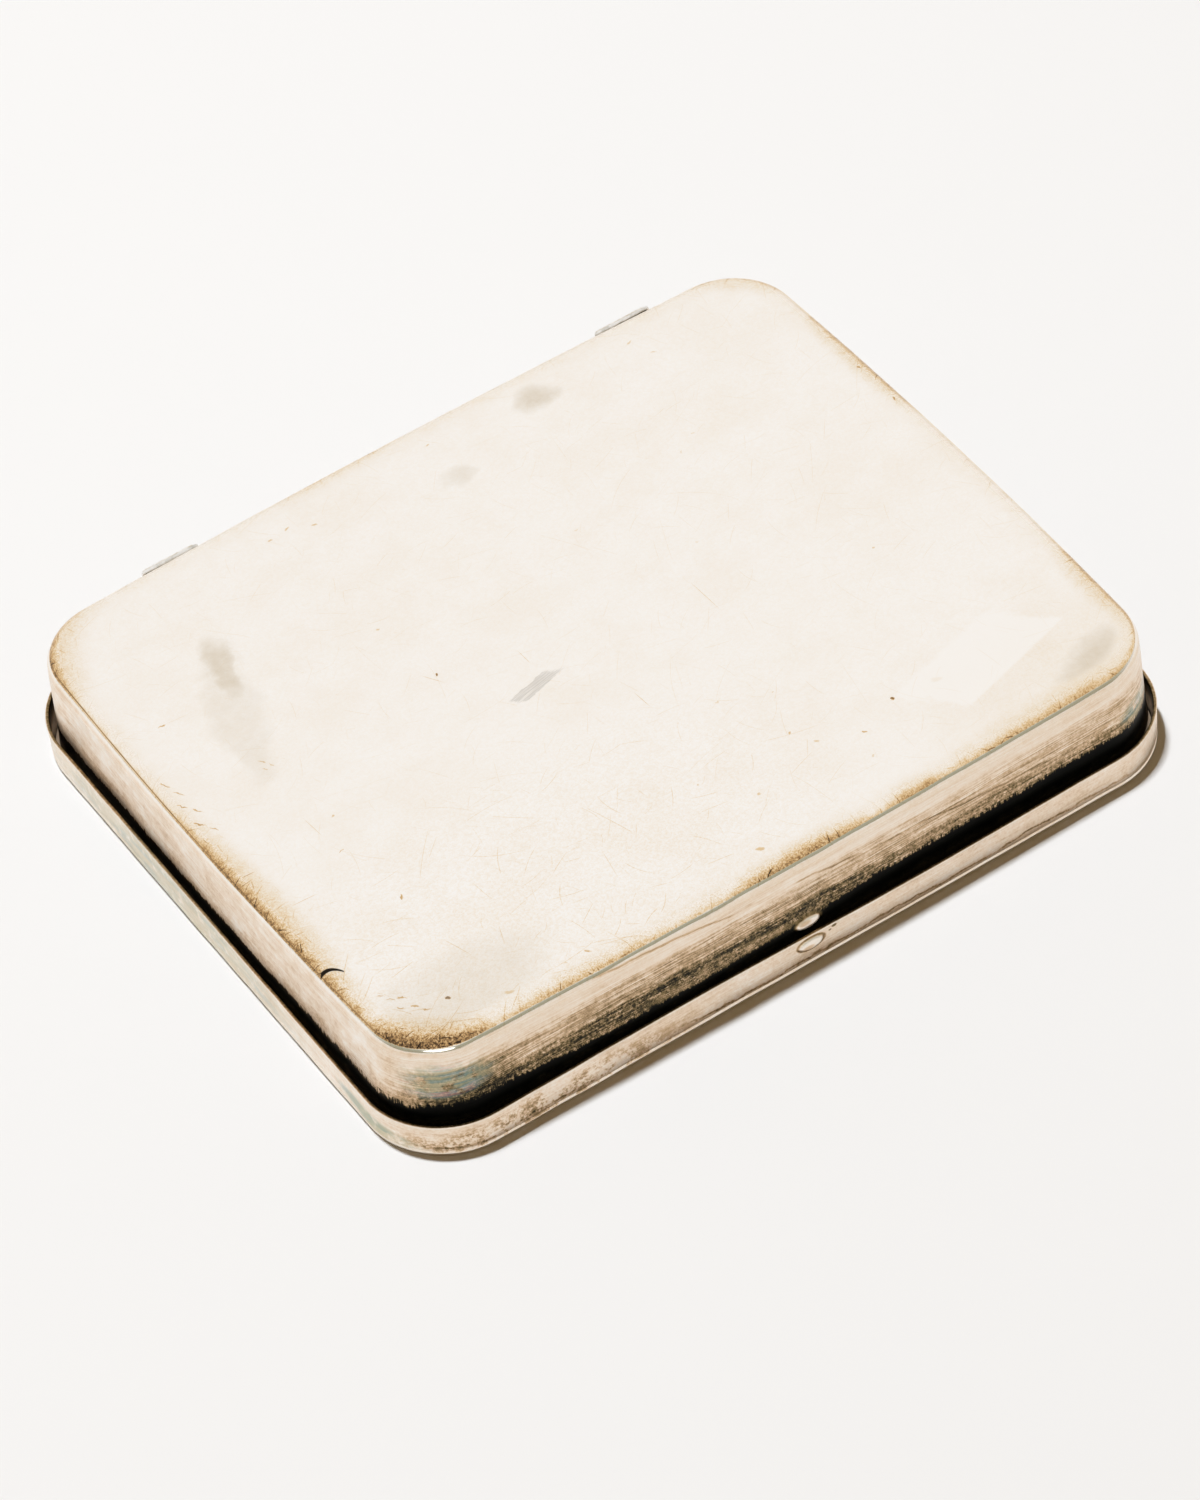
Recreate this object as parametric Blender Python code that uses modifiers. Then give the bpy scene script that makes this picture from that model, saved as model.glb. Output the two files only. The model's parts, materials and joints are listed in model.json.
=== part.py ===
"""A flat hinged box of silver-plated sheet, lying on its lid and slightly ajar.

The lid is a shallow drawn pan with its panel on the table. The base is a
deeper pan, panel up, whose wall goes down inside the lid's rim. Two soldered
hinges join them at the back, and two pressed oval bosses make the catch at
the front. Metres, +Z up, origin at the middle of the lid's panel, on the
table. The long sides run along X and the catch faces -Y. Everything is drawn
shut first, and the base is then turned about the hinge axis to stand ajar.
"""

import math

import bmesh
import bpy
from mathutils import Matrix, Vector

# Overall sizes of the shut box
LID_WIDTH = 0.1100
LID_DEPTH = 0.09175
LID_HEIGHT = 0.0052
SHUT_HEIGHT = 0.0155
AJAR_ANGLE = math.radians(1.2)

# The sheet and its bends
SHEET = 0.00045
LID_CORNER = 0.0110
LID_EDGE_RADIUS = 0.0006
BASE_EDGE_RADIUS = 0.0020
LID_DRAFT = math.radians(1.0)
BASE_DRAFT = math.radians(2.1)
LIP_ROUNDING = 0.00008

# How the base sits in the lid: air round its sides, and between its mouth and the lid's panel
SIDE_GAP = 0.00085
MOUTH_GAP = 0.0010

# The sides swell a little between the corners, and years of use have waved the front edges
LID_SWELL = 0.00005
BASE_PANEL_SWELL = 0.00075
BASE_MOUTH_SWELL = 0.00015
LID_FRONT_WAVE = 0.00028
BASE_FRONT_WAVE = 0.00015
WAVE_PITCH = 0.085

# The catch: an oval boss in each front wall. When shut, the base's sits in the upper part of the lid's
CATCH_LENGTH = 0.0040
CATCH_BREADTH = 0.0021
CATCH_RISE = 0.00040
LID_CATCH_X = -0.0005
LID_CATCH_BELOW_RIM = 0.00120
BASE_CATCH_BELOW_RIM = 0.00070
CATCH_WALL = 0.00035

# The hinges: their middles are measured from the lid's ends
LEFT_HINGE_FROM_END = 0.0235
RIGHT_HINGE_FROM_END = 0.0205
HINGE_WIDTH = 0.0075
MIDDLE_KNUCKLE = 0.0027
KNUCKLE_GAP = 0.00015
LEAF_SHEET = 0.00045
LEAF_SEAM = 0.00020
PIN_RADIUS = 0.00050
PIN_CLEARANCE = 0.00005
PIN_HEAD_RADIUS = 0.00075
PIN_HEAD_HEIGHT = 0.00030
PIN_HEAD_FLAT_SHARE = 0.6
LID_LEAF_FOOT = 0.0012
BASE_LEAF_RISE = 0.0009
JOGGLE_HEIGHT = 0.0014
NECK_INSET = 0.00002
NECK_LAP = 0.00010

# How finely the round stretches are drawn
CORNER_STEPS = 8
LONG_SIDE_STEPS = 12
SHORT_SIDE_STEPS = 6
EDGE_STEPS = 4
KNUCKLE_STEPS = 20
OVAL_STEPS = 20
SMOOTH_ANGLE = math.radians(35)
SHARP_ANGLE = math.radians(60)
MERGE_DISTANCE = 0.00001

# Worked out from the sizes above
KNUCKLE_RADIUS = PIN_RADIUS + PIN_CLEARANCE + LEAF_SHEET
LID_HALF_WIDTH = LID_WIDTH / 2
LID_HALF_DEPTH = LID_DEPTH / 2
BASE_HALF_WIDTH = LID_HALF_WIDTH - SHEET - SIDE_GAP
BASE_HALF_DEPTH = LID_HALF_DEPTH - SHEET - SIDE_GAP
BASE_CORNER = LID_CORNER - SHEET - SIDE_GAP
BASE_MOUTH_Z = SHEET + MOUTH_GAP
LID_CATCH_Z = LID_HEIGHT - LID_CATCH_BELOW_RIM
BASE_CATCH_Z = LID_HEIGHT - BASE_CATCH_BELOW_RIM
LEFT_HINGE_X = LEFT_HINGE_FROM_END - LID_HALF_WIDTH
RIGHT_HINGE_X = LID_HALF_WIDTH - RIGHT_HINGE_FROM_END
AXIS_Y = LID_HALF_DEPTH + LID_SWELL + LEAF_SEAM + KNUCKLE_RADIUS
AXIS_Z = LID_HEIGHT
HINGE_AXIS = Vector((0, AXIS_Y, AXIS_Z))
OVERRUN = SHEET

# Colour and roughness of each metal
LID_SILVER = ((0.82, 0.76, 0.67), 0.30)
BASE_SILVER = ((0.86, 0.82, 0.75), 0.28)
LEAF_SILVER = ((0.72, 0.70, 0.62), 0.42)
PIN_STEEL = ((0.55, 0.52, 0.48), 0.38)


def clear_scene():
    """Start from an empty scene."""
    for item in list(bpy.data.objects):
        bpy.data.objects.remove(item, do_unlink=True)


def new_collection(name):
    """A collection of the scene with the given name."""
    collection = bpy.data.collections.new(name)
    bpy.context.scene.collection.children.link(collection)
    return collection


def metal(name, colour, roughness):
    """A plain metal with one colour."""
    material = bpy.data.materials.new(name)
    material.use_nodes = True
    shader = material.node_tree.nodes["Principled BSDF"]
    shader.inputs["Base Color"].default_value = (*colour, 1)
    shader.inputs["Metallic"].default_value = 1
    shader.inputs["Roughness"].default_value = roughness
    return material


def add_object(name, mesh, collection, material=None, parent=None, location=None):
    """Put a mesh in the scene as a named object."""
    item = bpy.data.objects.new(name, mesh)
    collection.objects.link(item)
    if material:
        mesh.materials.append(material)
    if parent:
        item.parent = parent
    if location:
        item.location = location
    return item


def mesh_from(bm, name):
    """Turn a bmesh into a mesh and free it."""
    mesh = bpy.data.meshes.new(name)
    bm.to_mesh(mesh)
    bm.free()
    mesh.shade_smooth()
    return mesh


def as_helper(item):
    """Mark an object as one that only cuts or joins others."""
    item.hide_render = True
    item.display_type = "WIRE"
    return item


def side_arc(reach, radius, swell, steps):
    """Points (along, out) of one swollen side, from one corner's end to the other.

    reach is the distance from the side's middle to the corner's centre, and
    out is measured from the line of the corner centres. The side is an arc
    that leaves both corner arcs without a kink.
    """
    half_angle = 2 * math.atan(swell / reach)
    points = []
    for step in range(steps + 1):
        turn = half_angle * (1 - 2 * step / steps)
        along = (reach / math.sin(half_angle) + radius) * math.sin(turn)
        lift = reach * (math.cos(turn) - math.cos(half_angle)) / math.sin(half_angle)
        points.append((along, radius * math.cos(turn) + lift))
    return points


def corner_arc(radius, start, end, steps):
    """Points between two directions on a corner, its ends left out."""
    points = []
    for step in range(1, steps):
        turn = start + (end - start) * step / steps
        points.append((radius * math.cos(turn), radius * math.sin(turn)))
    return points


def swollen_outline(half_width, half_depth, radius, swell):
    """A rounded rectangle with swollen sides, anticlockwise from the right end of the back side."""
    reach_x = half_width - radius
    reach_y = half_depth - radius
    lean_long = 2 * math.atan(swell / reach_x)
    lean_short = 2 * math.atan(swell / reach_y)
    long_side = side_arc(reach_x, radius, swell, LONG_SIDE_STEPS)
    short_side = side_arc(reach_y, radius, swell, SHORT_SIDE_STEPS)
    quarter = math.pi / 2
    points = []
    points += [(along, reach_y + out) for along, out in long_side]
    corner = corner_arc(radius, quarter + lean_long, 2 * quarter - lean_short, CORNER_STEPS)
    points += [(x - reach_x, y + reach_y) for x, y in corner]
    points += [(-reach_x - out, along) for along, out in short_side]
    corner = corner_arc(radius, 2 * quarter + lean_short, 3 * quarter - lean_long, CORNER_STEPS)
    points += [(x - reach_x, y - reach_y) for x, y in corner]
    points += [(-along, -reach_y - out) for along, out in long_side]
    corner = corner_arc(radius, 3 * quarter + lean_long, 4 * quarter - lean_short, CORNER_STEPS)
    points += [(x + reach_x, y - reach_y) for x, y in corner]
    points += [(reach_x + out, -along) for along, out in short_side]
    corner = corner_arc(radius, lean_short, quarter - lean_long, CORNER_STEPS)
    points += [(x + reach_x, y + reach_y) for x, y in corner]
    return points


def waved(points, reach, depth_of_wave):
    """Push the front side out on the right of the catch and in on its left."""
    result = []
    for x, y in points:
        if y < 0 and abs(x) < reach:
            fade = 1 - (x / reach) ** 2
            y -= depth_of_wave * fade * math.sin(2 * math.pi * x / WAVE_PITCH)
        result.append((x, y))
    return result


def drawn_pan(name, half_width, half_depth, radius, draft, panel_z, mouth_z, swells, wave):
    """The outer face of a pan: a flat panel and a wall that spreads towards the mouth.

    half_width, half_depth and radius hold at the height of the lid's rim, and
    swells are the sides' swell at the panel and at the mouth.
    """
    bm = bmesh.new()
    slope = math.tan(draft) * (1 if mouth_z > panel_z else -1)
    rings = {}
    for z, swell, wave_here in ((panel_z, swells[0], 0), (mouth_z, swells[1], wave)):
        spread = slope * (z - LID_HEIGHT)
        ring = swollen_outline(half_width + spread, half_depth + spread, radius + spread, swell)
        rings[z] = waved(ring, half_width - radius, wave_here)
    panel = bm.faces.new([bm.verts.new((x, y, panel_z)) for x, y in rings[panel_z]])
    places = {vertex: index for index, vertex in enumerate(panel.verts)}
    wall = bmesh.ops.extrude_edge_only(bm, edges=list(panel.edges))
    for vertex in [item for item in wall["geom"] if isinstance(item, bmesh.types.BMVert)]:
        neighbours = [edge.other_vert(vertex) for edge in vertex.link_edges]
        above = next(neighbour for neighbour in neighbours if neighbour in places)
        x, y = rings[mouth_z][places[above]]
        vertex.co = (x, y, mouth_z)
    bmesh.ops.recalc_face_normals(bm, faces=bm.faces)
    return mesh_from(bm, name)


def dress_pan(pan, edge_radius):
    """Round the panel's edge, give the sheet its thickness and break the lip's corners."""
    edge = pan.modifiers.new("panel_edge", "BEVEL")
    edge.width = edge_radius
    edge.segments = EDGE_STEPS
    edge.limit_method = "ANGLE"
    edge.angle_limit = SHARP_ANGLE
    sheet = pan.modifiers.new("sheet", "SOLIDIFY")
    sheet.thickness = SHEET
    sheet.offset = -1
    sheet.use_even_offset = True
    lip = pan.modifiers.new("lip", "BEVEL")
    lip.width = LIP_ROUNDING
    lip.segments = 1
    lip.limit_method = "ANGLE"
    lip.angle_limit = SHARP_ANGLE


def oval(name, half_length, half_rise, half_breadth, centre):
    """A flattened ball for a pressed boss."""
    bm = bmesh.new()
    size = Matrix.Diagonal((half_length, half_rise, half_breadth, 1))
    matrix = Matrix.Translation(centre) @ size @ Matrix.Rotation(math.pi / 2, 4, "X")
    bmesh.ops.create_uvsphere(bm, u_segments=OVAL_STEPS, v_segments=OVAL_STEPS // 2, radius=1, matrix=matrix)
    return mesh_from(bm, name)


def base_wall(x, z):
    """How far out the base's long walls stand at a place along them and a height, when shut."""
    along = (z - BASE_MOUTH_Z) / (SHUT_HEIGHT - BASE_MOUTH_Z)
    swell = BASE_MOUTH_SWELL + (BASE_PANEL_SWELL - BASE_MOUTH_SWELL) * along
    reach = BASE_HALF_WIDTH - BASE_CORNER
    return BASE_HALF_DEPTH + math.tan(BASE_DRAFT) * (LID_HEIGHT - z) + swell * (1 - (x / reach) ** 2)


def press_boss(pan, helpers, middle, parent, origin):
    """Press the catch's oval boss out of a pan's front wall. Its middle is on the wall's outer face."""
    outside = middle - origin
    inside = outside + Vector((0, SHEET, 0))
    swelling = oval(pan.name + "_boss_skin", CATCH_LENGTH / 2, CATCH_RISE, CATCH_BREADTH / 2, outside)
    hollow = oval(pan.name + "_boss_hollow", CATCH_LENGTH / 2 - CATCH_WALL, CATCH_RISE,
                  CATCH_BREADTH / 2 - CATCH_WALL, inside)
    for mesh, operation in ((swelling, "UNION"), (hollow, "DIFFERENCE")):
        helper = as_helper(add_object(mesh.name, mesh, helpers, parent=parent))
        press = pan.modifiers.new(mesh.name, "BOOLEAN")
        press.operation = operation
        press.solver = "EXACT"
        press.object = helper


def settle_shape(item):
    """Apply an object's modifiers and shade it smooth up to its real edges."""
    bpy.context.view_layer.update()
    evaluated = item.evaluated_get(bpy.context.evaluated_depsgraph_get())
    mesh = bpy.data.meshes.new_from_object(evaluated)
    item.modifiers.clear()
    item.data = mesh
    mesh.shade_smooth()
    mesh.set_sharp_from_angle(angle=SMOOTH_ANGLE)


def extruded_outline(name, points, width, centre_x, helpers):
    """A flat outline in the YZ plane, extruded to width along X about centre_x."""
    bm = bmesh.new()
    face = bm.faces.new([bm.verts.new((centre_x - width / 2, y, z)) for y, z in points])
    grown = bmesh.ops.extrude_face_region(bm, geom=[face])
    moved = [item for item in grown["geom"] if isinstance(item, bmesh.types.BMVert)]
    bmesh.ops.translate(bm, verts=moved, vec=(width, 0, 0))
    bmesh.ops.recalc_face_normals(bm, faces=bm.faces)
    return as_helper(add_object(name, mesh_from(bm, name), helpers))


def cross_rod(name, radius, length, centre_x, helpers):
    """A round rod along X, on the hinge axis."""
    bm = bmesh.new()
    matrix = Matrix.Translation((centre_x, 0, 0)) @ Matrix.Rotation(math.pi / 2, 4, "Y")
    bmesh.ops.create_cone(bm, cap_ends=True, segments=KNUCKLE_STEPS, radius1=radius, radius2=radius,
                          depth=length, matrix=matrix)
    return as_helper(add_object(name, mesh_from(bm, name), helpers))


def carved(first, steps):
    """Join to and cut from the first helper, in order, and return the mesh. The helpers are used up."""
    for helper, operation in steps:
        change = first.modifiers.new(helper.name, "BOOLEAN")
        change.operation = operation
        change.solver = "EXACT"
        change.object = helper
    bpy.context.view_layer.update()
    evaluated = first.evaluated_get(bpy.context.evaluated_depsgraph_get())
    mesh = bpy.data.meshes.new_from_object(evaluated)
    for helper in [first] + [helper for helper, operation in steps]:
        bpy.data.objects.remove(helper, do_unlink=True)
    mesh.shade_smooth()
    mesh.set_sharp_from_angle(angle=SMOOTH_ANGLE)
    return mesh


def outer_knuckles():
    """Middle and width of each of the two knuckles that belong to the base's leaf."""
    width = (HINGE_WIDTH - MIDDLE_KNUCKLE) / 2 - KNUCKLE_GAP
    offset = HINGE_WIDTH / 2 - width / 2
    return ((-offset, width), (offset, width))


def neck_outline(end):
    """The strip of leaf that runs from the axis's height to end and rolls into the knuckle."""
    near = NECK_INSET - KNUCKLE_RADIUS
    far = near + LEAF_SHEET
    outline = [(near, 0), (far, 0), (far, end), (near, end)]
    return outline if end > 0 else outline[::-1]


def leaf(name, plate_points, neck_points, knuckles, helpers):
    """A hinge leaf about the hinge axis: a plate, and a neck and a bored knuckle for each place."""
    plate = extruded_outline(name + "_plate", plate_points, HINGE_WIDTH, 0, helpers)
    steps = []
    for number, (centre_x, width) in enumerate(knuckles):
        neck = extruded_outline("%s_neck_%d" % (name, number), neck_points, width, centre_x, helpers)
        steps.append((neck, "UNION"))
        knuckle = cross_rod("%s_knuckle_%d" % (name, number), KNUCKLE_RADIUS, width, centre_x, helpers)
        steps.append((knuckle, "UNION"))
    bore = cross_rod(name + "_bore", PIN_RADIUS + PIN_CLEARANCE, HINGE_WIDTH + 2 * OVERRUN, 0, helpers)
    steps.append((bore, "DIFFERENCE"))
    return carved(plate, steps)


def lid_leaf_mesh(helpers):
    """The leaf on the lid's back wall: it hangs below the axis and holds the middle knuckle."""
    near = -KNUCKLE_RADIUS
    far = near + LEAF_SHEET
    top = -KNUCKLE_RADIUS - KNUCKLE_GAP
    foot = LID_LEAF_FOOT - AXIS_Z
    plate = [(near, foot), (far, foot), (far, top), (near, top)]
    return leaf("lid_leaf", plate, neck_outline(top - OVERRUN), ((0, MIDDLE_KNUCKLE),), helpers)


def base_leaf_mesh(helpers):
    """The leaf on the base's back wall: it steps in over the lid's rim and stands up the wall."""
    near = -KNUCKLE_RADIUS
    bottom = KNUCKLE_RADIUS + KNUCKLE_GAP
    bend = bottom + JOGGLE_HEIGHT
    top = SHUT_HEIGHT - BASE_EDGE_RADIUS + BASE_LEAF_RISE - AXIS_Z
    nearest = min(abs(LEFT_HINGE_X), abs(RIGHT_HINGE_X))
    low, high = (base_wall(nearest, AXIS_Z + z) + LEAF_SEAM - AXIS_Y for z in (bend, top))
    plate = [
        (near, bottom), (near + LEAF_SHEET, bottom), (near + LEAF_SHEET, bottom + LEAF_SHEET),
        (low + LEAF_SHEET, bend), (high + LEAF_SHEET, top),
        (high, top), (low, bend - LEAF_SHEET / 2), (near, bottom + LEAF_SHEET / 2),
    ]
    return leaf("base_leaf", plate, neck_outline(bottom + NECK_LAP), outer_knuckles(), helpers)


def pin_mesh():
    """The wire through the knuckles, with a peened head at each end, turned about X."""
    half = HINGE_WIDTH / 2 + KNUCKLE_GAP
    profile = [(0, half + PIN_HEAD_HEIGHT), (PIN_HEAD_RADIUS * PIN_HEAD_FLAT_SHARE, half + PIN_HEAD_HEIGHT),
               (PIN_HEAD_RADIUS, half + PIN_HEAD_HEIGHT / 2), (PIN_HEAD_RADIUS, half), (PIN_RADIUS, half)]
    profile += [(radius, -x) for radius, x in reversed(profile)]
    bm = bmesh.new()
    verts = [bm.verts.new((radius, 0, x)) for radius, x in profile]
    for first, second in zip(verts, verts[1:]):
        bm.edges.new((first, second))
    return mesh_from(bm, "hinge_pin")


def build_pans(parts, helpers, turn):
    """The lid where it lies, and the base about the hinge axis."""
    mesh = drawn_pan("lid_pan", LID_HALF_WIDTH, LID_HALF_DEPTH, LID_CORNER, LID_DRAFT, 0, LID_HEIGHT,
                     (LID_SWELL, LID_SWELL), LID_FRONT_WAVE)
    lid = add_object("lid_pan", mesh, parts, metal("lid_silver", *LID_SILVER))
    dress_pan(lid, LID_EDGE_RADIUS)
    lid_wall = LID_HALF_DEPTH + LID_SWELL + math.tan(LID_DRAFT) * (LID_CATCH_Z - LID_HEIGHT)
    press_boss(lid, helpers, Vector((LID_CATCH_X, -lid_wall, LID_CATCH_Z)), None, Vector())
    settle_shape(lid)

    mesh = drawn_pan("base_pan", BASE_HALF_WIDTH, BASE_HALF_DEPTH, BASE_CORNER, BASE_DRAFT, SHUT_HEIGHT,
                     BASE_MOUTH_Z, (BASE_PANEL_SWELL, BASE_MOUTH_SWELL), -BASE_FRONT_WAVE)
    mesh.transform(Matrix.Translation(-HINGE_AXIS))
    base = add_object("base_pan", mesh, parts, metal("base_silver", *BASE_SILVER), turn)
    dress_pan(base, BASE_EDGE_RADIUS)
    press_boss(base, helpers, Vector((0, -base_wall(0, BASE_CATCH_Z), BASE_CATCH_Z)), turn, HINGE_AXIS)
    settle_shape(base)


def build_hinges(parts, helpers, turn):
    """Two hinges of a lid leaf, a base leaf and a pin each."""
    leaf_metal = metal("leaf_silver", *LEAF_SILVER)
    pin_metal = metal("pin_steel", *PIN_STEEL)
    lid_leaf = lid_leaf_mesh(helpers)
    base_leaf = base_leaf_mesh(helpers)
    pin = pin_mesh()
    lid_leaf.materials.append(leaf_metal)
    base_leaf.materials.append(leaf_metal)
    pin.materials.append(pin_metal)
    for side, x in (("left", LEFT_HINGE_X), ("right", RIGHT_HINGE_X)):
        place = Vector((x, AXIS_Y, AXIS_Z))
        add_object(side + "_lid_leaf", lid_leaf, parts, location=place)
        add_object(side + "_base_leaf", base_leaf, parts, parent=turn, location=Vector((x, 0, 0)))
        item = add_object(side + "_hinge_pin", pin, parts, location=place)
        item.rotation_euler = (0, math.pi / 2, 0)
        screw = item.modifiers.new("turned", "SCREW")
        screw.axis = "Z"
        screw.steps = KNUCKLE_STEPS
        screw.render_steps = KNUCKLE_STEPS
        screw.use_merge_vertices = True
        screw.merge_threshold = MERGE_DISTANCE


def build():
    """Make the whole box."""
    clear_scene()
    parts = new_collection("silver_box")
    helpers = new_collection("cutters")
    turn = bpy.data.objects.new("base_turn", None)
    turn.location = HINGE_AXIS
    turn.rotation_euler = (-AJAR_ANGLE, 0, 0)
    parts.objects.link(turn)
    build_pans(parts, helpers, turn)
    build_hinges(parts, helpers, turn)


build()
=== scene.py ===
"""A worn silver-plated box that lies on its lid on a white table, slightly ajar.

Both pans are lofted from a rounded outline and a section of the drawn sheet.
Each point keeps its measure along that section, and the finishes read it, so
that tarnish and wear follow the edges, walls and lips. Sizes are in metres,
and the patterns of the finishes are in millimetres.
"""

import json
import math

import bmesh
import bpy
import numpy as np
from mathutils import Matrix, Vector


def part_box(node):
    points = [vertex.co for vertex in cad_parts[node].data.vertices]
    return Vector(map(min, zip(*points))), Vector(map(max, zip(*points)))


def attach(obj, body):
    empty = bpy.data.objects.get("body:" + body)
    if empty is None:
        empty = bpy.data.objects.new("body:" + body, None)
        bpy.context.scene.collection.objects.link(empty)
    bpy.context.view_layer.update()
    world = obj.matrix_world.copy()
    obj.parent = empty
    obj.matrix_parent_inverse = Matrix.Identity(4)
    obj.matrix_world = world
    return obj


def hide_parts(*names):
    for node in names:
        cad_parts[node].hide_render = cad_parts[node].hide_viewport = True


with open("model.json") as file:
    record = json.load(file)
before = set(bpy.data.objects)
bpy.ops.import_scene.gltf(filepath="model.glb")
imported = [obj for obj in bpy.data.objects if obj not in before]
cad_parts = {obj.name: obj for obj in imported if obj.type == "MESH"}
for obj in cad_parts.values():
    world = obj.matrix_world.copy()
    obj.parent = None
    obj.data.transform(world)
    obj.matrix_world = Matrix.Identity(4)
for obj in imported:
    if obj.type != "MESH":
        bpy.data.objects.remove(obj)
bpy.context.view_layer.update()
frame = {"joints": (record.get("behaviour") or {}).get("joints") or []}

MILLIMETRES = 1000
QUARTER = math.pi / 2

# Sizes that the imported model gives
LID_LOW, LID_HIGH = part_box("lid_pan")
HINGE = frame["joints"][0]
HINGE_AXIS = Vector(HINGE["pos_m"])
AJAR_ANGLE = math.radians(-HINGE["range_deg"][0])
SIDES = ("left", "right")
HINGE_X = {side: sum(corner.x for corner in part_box(side + "_base_leaf")) / 2 for side in SIDES}

# The drawn sheet
SHEET = 0.00045
LIP_ROUNDING = 0.0001
LID_SWELL = 0.00005
LID_HALF_WIDTH = (LID_HIGH.x - LID_LOW.x) / 2 - LID_SWELL
LID_HALF_DEPTH = LID_HIGH.y - LID_SWELL
LID_CORNER = 0.011
RIM_HEIGHT = LID_HIGH.z
LID_EDGE_RADIUS = 0.0006
BASE_EDGE_RADIUS = 0.002
LID_DRAFT = math.radians(1)
BASE_DRAFT = math.radians(2.1)
SIDE_GAP = 0.00085
SHUT_HEIGHT = 0.0155
MOUTH_GAP = 0.001
BASE_PANEL_SWELL = 0.00075
BASE_MOUTH_SWELL = 0.00015

# Long sides have close-set points near their middle, where the catch is pressed
CORNER_STEPS = 20
LONG_SIDE_STEPS = 44
CATCH_STEPS = 60
CATCH_REACH = 0.004
SHORT_SIDE_STEPS = 72

# Rings of points along the section
PANEL_BORDER = 0.0065
PANEL_BORDER_STEPS = 20
EDGE_STEPS = 12
LIP_STEPS = 4
INNER_WALL_STEPS = 10

# The catch's two oval bosses
CATCH_LENGTH = 0.004
CATCH_BREADTH = 0.0021
CATCH_RISE = 0.0004
LID_CATCH = (-0.0005, LID_HIGH.z - 0.0012)
BASE_CATCH = (0, LID_HIGH.z - 0.0007)
CATCH_SHOULDER_SHARE = 0.62

# Years of use have waved the front edges and dented the walls
LID_FRONT_WAVE = 0.00028
BASE_FRONT_WAVE = 0.00015
WAVE_PITCH = 0.085
DENT_DEPTH = 0.00003
DENT_PITCH = 0.011
DENT_COUNT = 12
DENTS_ROUND = (10, 55)
DENT_SPREAD = (0.6, 2.5)
DENT_REACH = 2.6

# The hinges
HINGE_WIDTH = 0.0075
MIDDLE_KNUCKLE = 0.0027
KNUCKLE_GAP = 0.00015
KNUCKLE_RADIUS = 0.001
LEAF_SHEET = 0.00045
LEAF_SEAM = 0.0002
LEAF_CORNER = 0.0005
LEAF_CORNER_STEPS = 5
LEAF_EDGE_ROUNDING = 0.00006
LEAF_EDGE_ANGLE = math.radians(50)
LID_LEAF_FOOT = 0.0012
BASE_LEAF_RISE = 0.0009
JOGGLE_HEIGHT = 0.0014
ROLL_RADIUS = KNUCKLE_RADIUS - LEAF_SHEET / 2
ROLL_TURN = math.radians(299)
ROLL_STEPS = 30
PIN_RADIUS = 0.0005
PIN_HEAD_RADIUS = 0.00075
PIN_HEAD_HEIGHT = 0.0003
PIN_STEPS = 32
PIN_HEAD_STEPS = 7
PIN_SHARP_ANGLE = math.radians(40)
SOLDER_RADIUS = 0.00022
SOLDER_SIDES = 14
SOLDER_STEP_SHARE = 0.35
SOLDER_LUMP = 0.0011

# Where the camera stands
VIEW_AZIMUTH = math.radians(-27.87)
VIEW_ELEVATION = math.radians(47.1)
VIEW_ROLL = math.radians(-7.65)
VIEW_DISTANCE = 0.86149
VIEW_DROP = 0.00174
VIEW_REACH = (0.05, 20)
LENS_LENGTH = 171.8
SENSOR_WIDTH = 36

# The room's light, and the light that falls into shade
CEILING_LIGHT = (0.94, 0.935, 0.925, 1)
ROOM_LIGHT = (0.9, 0.9, 0.89, 1)
STRIP_LIGHT = (0.38, 0.375, 0.29, 1)
TABLE_LIGHT = (0.9, 0.89, 0.88, 1)
SHADE_LIGHT = (0.14, 0.078, 0.01, 1)
BACKDROP = (0.915, 0.91, 0.9, 1)
TABLE_WHITES = ((0.86, 0.855, 0.845, 1), (0.87, 0.865, 0.855, 1))
TABLE_REACH = 3
# Lamps: place, size, power and colour
KEY_LIGHT = ((-0.095, 0.212, 1.5), 0.1, 24, (0.885, 0.93, 0.985))
GLINT_LIGHT = ((-0.609, -0.987, 0.289), 0.8, 0.85, (0.88, 0.95, 1))
GLINT_HEIGHT = 0.3

# On the panels: bright plate, then straw, orange, brown and black; the dark end also paints a reflection
# line on the left edge
PANEL_TARNISH = (
    (0, (0.995, 0.962, 0.925)),
    (0.1, (0.95, 0.88, 0.795)),
    (0.2, (0.89, 0.77, 0.61)),
    (0.32, (0.8, 0.59, 0.345)),
    (0.46, (0.59, 0.365, 0.16)),
    (0.6, (0.3, 0.175, 0.08)),
    (0.78, (0.095, 0.058, 0.03)),
    (1, (0.012, 0.01, 0.008)),
)
# On the walls, where it is greyer and ends in deep black, which paints the shade of the gap behind the lid's
# rim
WALL_TARNISH_AND_SHADE = (
    (0, (0.93, 0.885, 0.83)),
    (0.1, (0.9, 0.805, 0.695)),
    (0.22, (0.815, 0.655, 0.495)),
    (0.34, (0.625, 0.435, 0.265)),
    (0.46, (0.37, 0.25, 0.135)),
    (0.58, (0.2, 0.14, 0.062)),
    (0.74, (0.05, 0.04, 0.022)),
    (1, (0.003, 0.003, 0.0025)),
)
# The colours of a thin film of tarnish, as it thickens
FILM = (
    (0, (0.62, 0.55, 0.38)),
    (0.2, (0.42, 0.43, 0.28)),
    (0.38, (0.22, 0.36, 0.34)),
    (0.52, (0.46, 0.56, 0.56)),
    (0.66, (0.62, 0.36, 0.38)),
    (0.8, (0.66, 0.48, 0.28)),
    (1, (0.4, 0.34, 0.2)),
)
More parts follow.
